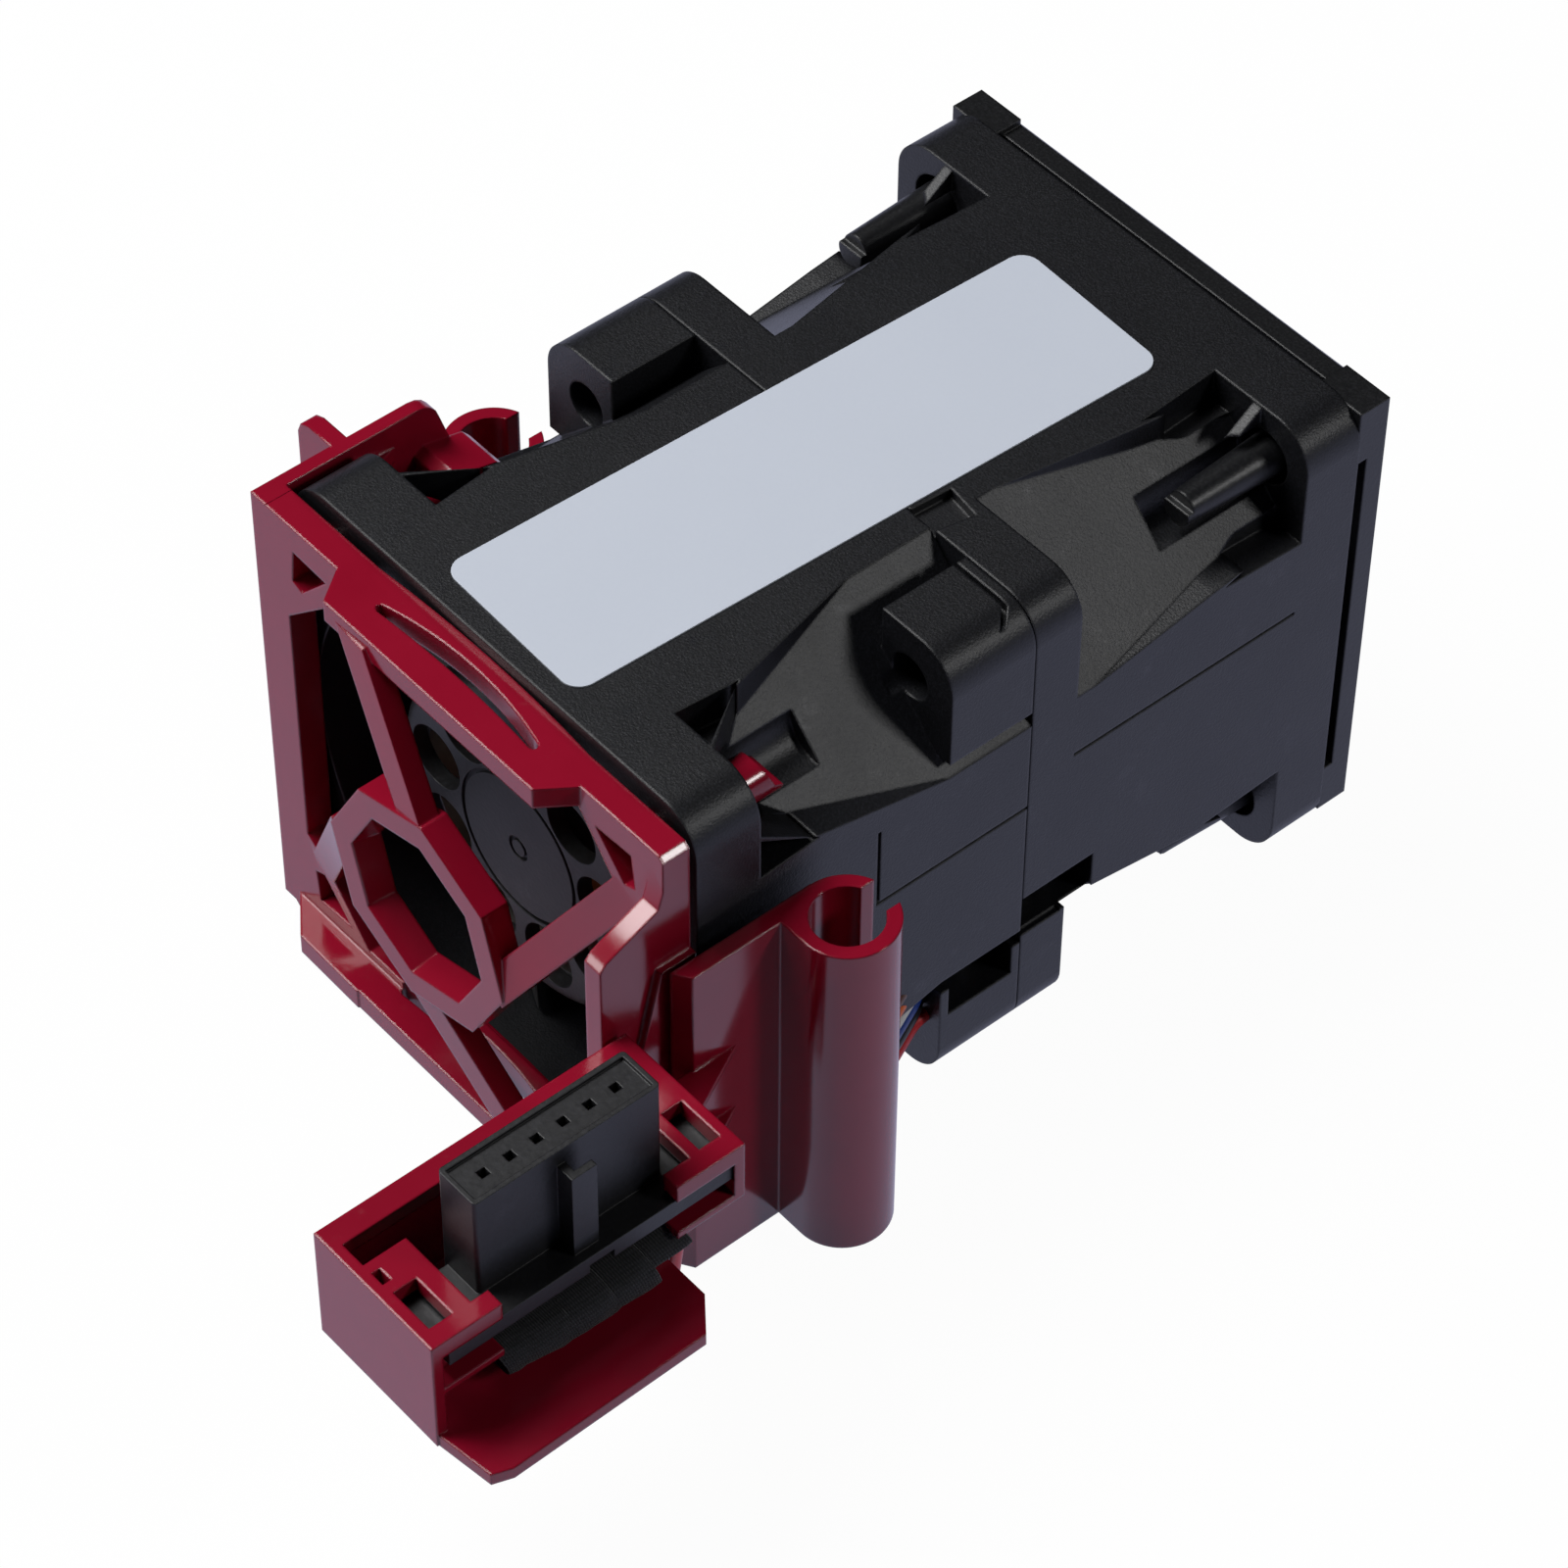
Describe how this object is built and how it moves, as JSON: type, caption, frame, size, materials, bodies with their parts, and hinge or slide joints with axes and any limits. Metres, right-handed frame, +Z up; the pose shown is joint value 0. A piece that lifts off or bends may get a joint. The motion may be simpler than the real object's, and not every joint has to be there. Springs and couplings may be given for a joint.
{
  "type": "server fan module",
  "caption": "Counter-rotating axial server fan in a red clip-in carrier with an octagonal finger guard, guide sleeves and a side-mounted wire connector.",
  "frame": {"origin": "On the fan axis, in the plane of the inlet flange's front face.", "axes": "+Y runs along the fan axis from inlet to outlet, +Z is up through the labelled side, +X points to the side that carries the connector."},
  "size_m": [0.0637, 0.0891, 0.0401],
  "materials": {
    "carrier_red": "glossy moulded crimson",
    "fan_black": "lightly grained black",
    "plate_black": "satin black",
    "label_film": "pale blue-grey film",
    "impeller_plastic": "glass-filled dark grey",
    "yoke_steel": "drawn steel",
    "magnet": "bonded ferrite",
    "brass_bush": "turned brass",
    "shaft_steel": "ground steel",
    "spring_steel": "spring steel",
    "bearing_steel": "bearing steel",
    "lamination_steel": "stacked laminations",
    "insulator_plastic": "natural nylon",
    "copper_wire": "enamelled copper",
    "board": "green solder mask",
    "connector_black": "black nylon",
    "contact_metal": "plated contact strip",
    "lead_black": "insulated wire",
    "lead_brown": "insulated wire",
    "lead_orange": "insulated wire",
    "lead_white": "insulated wire",
    "lead_blue": "insulated wire",
    "lead_red": "insulated wire",
    "cloth_tape": "black cloth tape"
  },
  "bodies": {
    "frame": {"carrier": "carrier_red", "front_housing": "fan_black", "rear_housing": "fan_black", "outlet_plate": "plate_black", "label": "label_film", "front_bearing_outers": "bearing_steel", "front_preload_spring": "spring_steel", "front_bearing_tube": "brass_bush", "front_stator_core": "lamination_steel", "front_stator_insulator": "insulator_plastic", "front_coils": "copper_wire", "front_circuit_board": "board", "rear_bearing_outers": "bearing_steel", "rear_preload_spring": "spring_steel", "rear_bearing_tube": "brass_bush", "rear_stator_core": "lamination_steel", "rear_stator_insulator": "insulator_plastic", "rear_coils": "copper_wire", "rear_circuit_board": "board", "connector_housing": "connector_black", "contacts": "contact_metal", "lead_black": "lead_black", "lead_brown": "lead_brown", "lead_orange": "lead_orange", "lead_white": "lead_white", "lead_blue": "lead_blue", "lead_red": "lead_red", "tape_wrap": "cloth_tape"},
    "front_rotor": {"front_impeller": "impeller_plastic", "front_rotor_yoke": "yoke_steel", "front_magnet_ring": "magnet", "front_hub_bush": "brass_bush", "front_shaft": "shaft_steel", "front_shaft_clip": "spring_steel", "front_bearing_inners": "bearing_steel"},
    "rear_rotor": {"rear_impeller": "impeller_plastic", "rear_rotor_yoke": "yoke_steel", "rear_magnet_ring": "magnet", "rear_hub_bush": "brass_bush", "rear_shaft": "shaft_steel", "rear_shaft_clip": "spring_steel", "rear_bearing_inners": "bearing_steel"}
  },
  "joints": [
    {"name": "front_spin", "type": "hinge", "parent": "frame", "child": "front_rotor", "pos_m": [0, 0.014, 0], "axis": [0, 1, 0], "continuous": true},
    {"name": "rear_spin", "type": "hinge", "parent": "frame", "child": "rear_rotor", "pos_m": [0, 0.0414, 0], "axis": [0, 1, 0], "continuous": true}
  ]
}
